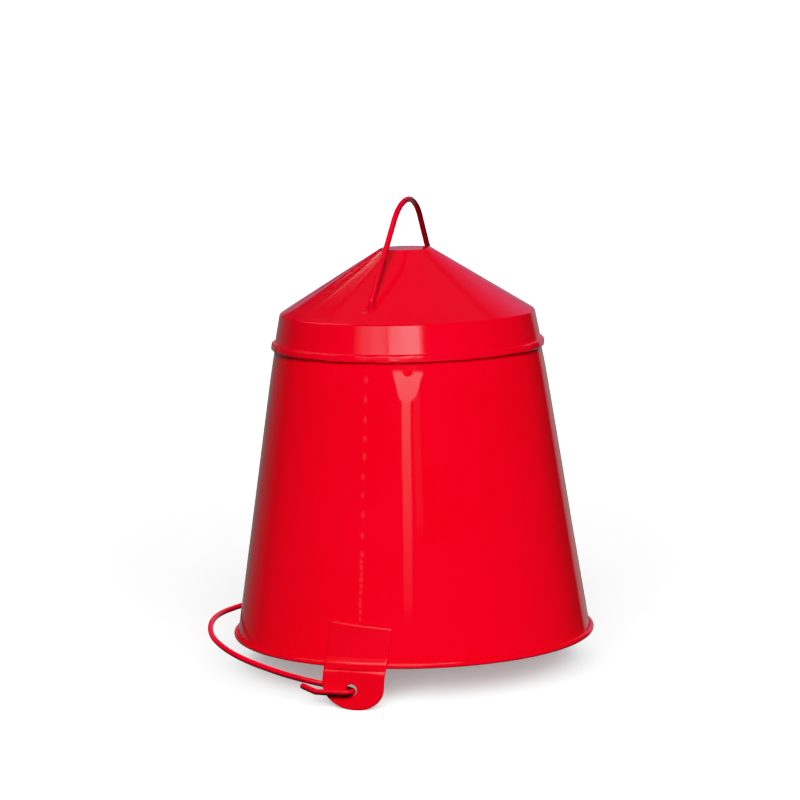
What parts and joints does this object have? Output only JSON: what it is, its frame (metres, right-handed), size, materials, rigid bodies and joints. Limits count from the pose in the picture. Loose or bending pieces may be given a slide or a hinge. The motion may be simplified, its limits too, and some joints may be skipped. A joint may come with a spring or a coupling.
{
  "type": "fire bucket",
  "caption": "Red sheet-steel fire bucket with a cone-shaped bottom, a fixed wire grip on the cone and a wire bail that swings in ears at the mouth.",
  "frame": {"origin": "centre of the mouth, in the plane of the rolled edge", "axes": "+Z along the bucket's axis from the mouth to the cone's tip, +Y towards the rear ear, -X towards the side where the bail lies"},
  "size_m": [0.324, 0.3162, 0.3958],
  "materials": {
    "red_paint_sheet": "gloss red enamel on sheet steel",
    "red_paint_wire": "gloss red enamel on steel wire",
    "bare_wire": "drawn steel wire, closed inside the rolled edge"
  },
  "bodies": {
    "bucket": {"body_wall": "red_paint_sheet", "rim_wire": "bare_wire", "cone_bottom": "red_paint_sheet", "front_ear": "red_paint_sheet", "rear_ear": "red_paint_sheet", "bottom_handle": "red_paint_wire"},
    "bail": {"bail": "red_paint_wire"}
  },
  "joints": [
    {"name": "bail_swing", "type": "hinge", "parent": "bucket", "child": "bail", "pos_m": [0, 0, -0.0186], "axis": [0, -1, 0], "range_deg": [-12, 208]}
  ]
}
